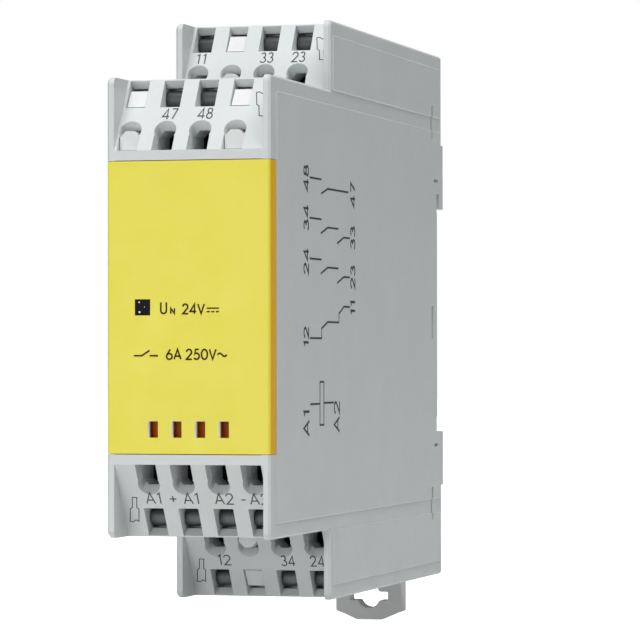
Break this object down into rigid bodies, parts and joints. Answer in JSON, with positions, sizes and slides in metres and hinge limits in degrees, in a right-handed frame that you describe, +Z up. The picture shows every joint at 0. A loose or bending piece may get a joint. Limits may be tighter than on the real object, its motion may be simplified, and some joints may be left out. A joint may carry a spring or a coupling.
{
  "type": "safety relay",
  "caption": "Slim rail-mounted safety relay: stepped housing, push-in terminals, clip-on front cover, sliding rail foot and guided-contact relay inside.",
  "frame": {"origin": "centre of the rail seat face, at mid width and mid height of the housing", "axes": "+X across the width to the right seen from the front, +Y back towards the rail, +Z up"},
  "size_m": [0.0226, 0.0956, 0.0863],
  "materials": {
    "housing_grey": "fine textured light grey moulding",
    "base_grey": "light grey moulding",
    "cover_yellow": "satin yellow moulding",
    "window_dark": "dark clear moulding",
    "foot_grey": "light grey moulding",
    "plug_white": "pale moulding",
    "carrier_grey": "grey glass-filled moulding",
    "spring_steel": "bright rolled strip",
    "tinned_copper": "tinned copper strip",
    "board_laminate": "green coated laminate",
    "led_body": "clear lamp body",
    "black_plastic": "black moulding",
    "can_aluminium": "drawn can",
    "relay_plastic": "dark moulding",
    "bobbin_plastic": "natural moulding",
    "magnet_wire": "enamelled copper wire",
    "relay_iron": "plated soft iron",
    "card_plastic": "natural moulding",
    "contact_copper": "copper alloy spring strip"
  },
  "bodies": {
    "module": {"circuit_board": "board_laminate", "clamp_spring_11": "spring_steel", "clamp_spring_12": "spring_steel", "clamp_spring_23": "spring_steel", "clamp_spring_24": "spring_steel", "clamp_spring_33": "spring_steel", "clamp_spring_34": "spring_steel", "clamp_spring_47": "spring_steel", "clamp_spring_48": "spring_steel", "clamp_spring_a1_inner": "spring_steel", "clamp_spring_a1_outer": "spring_steel", "clamp_spring_a2_inner": "spring_steel", "clamp_spring_a2_outer": "spring_steel", "coil_bobbin": "bobbin_plastic", "coil_core": "relay_iron", "coil_winding": "magnet_wire", "contact_bar_11": "tinned_copper", "contact_bar_12": "tinned_copper", "contact_bar_23": "tinned_copper", "contact_bar_24": "tinned_copper", "contact_bar_33": "tinned_copper", "contact_bar_34": "tinned_copper", "contact_bar_47": "tinned_copper", "contact_bar_48": "tinned_copper", "contact_bar_a1_inner": "tinned_copper", "contact_bar_a1_outer": "tinned_copper", "contact_bar_a2_inner": "tinned_copper", "contact_bar_a2_outer": "tinned_copper", "fixed_contact_1": "contact_copper", "fixed_contact_2": "contact_copper", "fixed_contact_3": "contact_copper", "fixed_contact_4": "contact_copper", "front_cover": "cover_yellow", "housing_shell": "housing_grey", "light_guide": "window_dark", "lower_front_terminal_carrier": "carrier_grey", "lower_rear_blanking_plug": "plug_white", "lower_rear_terminal_carrier": "carrier_grey", "rail_foot_spring": "spring_steel", "rear_base": "base_grey", "relay_base": "relay_plastic", "relay_cover": "relay_plastic", "relay_yoke": "relay_iron", "smoothing_capacitor": "can_aluminium", "status_led": "led_body", "surge_diode": "black_plastic", "upper_front_blanking_plug": "plug_white", "upper_front_blanking_plug_right": "plug_white", "upper_front_terminal_carrier": "carrier_grey", "upper_rear_blanking_plug": "plug_white", "upper_rear_terminal_carrier": "carrier_grey"},
    "rail_foot": {"rail_foot": "foot_grey"},
    "armature": {"relay_armature": "relay_iron"},
    "card": {"actuator_card": "card_plastic"},
    "contact_spring_1": {"moving_contact_1": "contact_copper"},
    "contact_spring_2": {"moving_contact_2": "contact_copper"},
    "contact_spring_3": {"moving_contact_3": "contact_copper"},
    "contact_spring_4": {"moving_contact_4": "contact_copper"}
  },
  "joints": [
    {"name": "rail_foot_slide", "type": "slide", "parent": "module", "child": "rail_foot", "axis": [0, 0, -1], "range_m": [0, 0.003], "stiffness_N_per_m": 1500, "springref_m": -0.001, "deforming": ["rail_foot_spring"]},
    {"name": "armature_hinge", "type": "hinge", "parent": "module", "child": "armature", "pos_m": [-0.0052, -0.0445, -0.0025], "axis": [0, 1, 0], "range_deg": [0, 4.75], "stiffness_Nm_per_rad": 0.06, "springref_deg": -2.86},
    {"name": "card_slide", "type": "slide", "parent": "module", "child": "card", "axis": [0, 0, -1], "range_m": [0, 0.001]},
    {"name": "contact_spring_1_flex", "type": "hinge", "parent": "module", "child": "contact_spring_1", "pos_m": [-0.006, -0.0445, 0.0035], "axis": [0, 1, 0], "range_deg": [0, 4.46]},
    {"name": "contact_spring_2_flex", "type": "hinge", "parent": "module", "child": "contact_spring_2", "pos_m": [-0.006, -0.0445, 0.0095], "axis": [0, 1, 0], "range_deg": [0, 4.46]},
    {"name": "contact_spring_3_flex", "type": "hinge", "parent": "module", "child": "contact_spring_3", "pos_m": [-0.006, -0.0445, 0.0155], "axis": [0, 1, 0], "range_deg": [0, 4.46]},
    {"name": "contact_spring_4_flex", "type": "hinge", "parent": "module", "child": "contact_spring_4", "pos_m": [-0.006, -0.0445, 0.0215], "axis": [0, 1, 0], "range_deg": [0, 4.46]}
  ],
  "couplings": [
    {"joint": "card_slide", "follows": "armature_hinge", "m_per_rad": 0.01205},
    {"joint": "contact_spring_1_flex", "follows": "armature_hinge", "ratio": 0.93774},
    {"joint": "contact_spring_2_flex", "follows": "armature_hinge", "ratio": 0.93774},
    {"joint": "contact_spring_3_flex", "follows": "armature_hinge", "ratio": 0.93774},
    {"joint": "contact_spring_4_flex", "follows": "armature_hinge", "ratio": 0.93774}
  ]
}
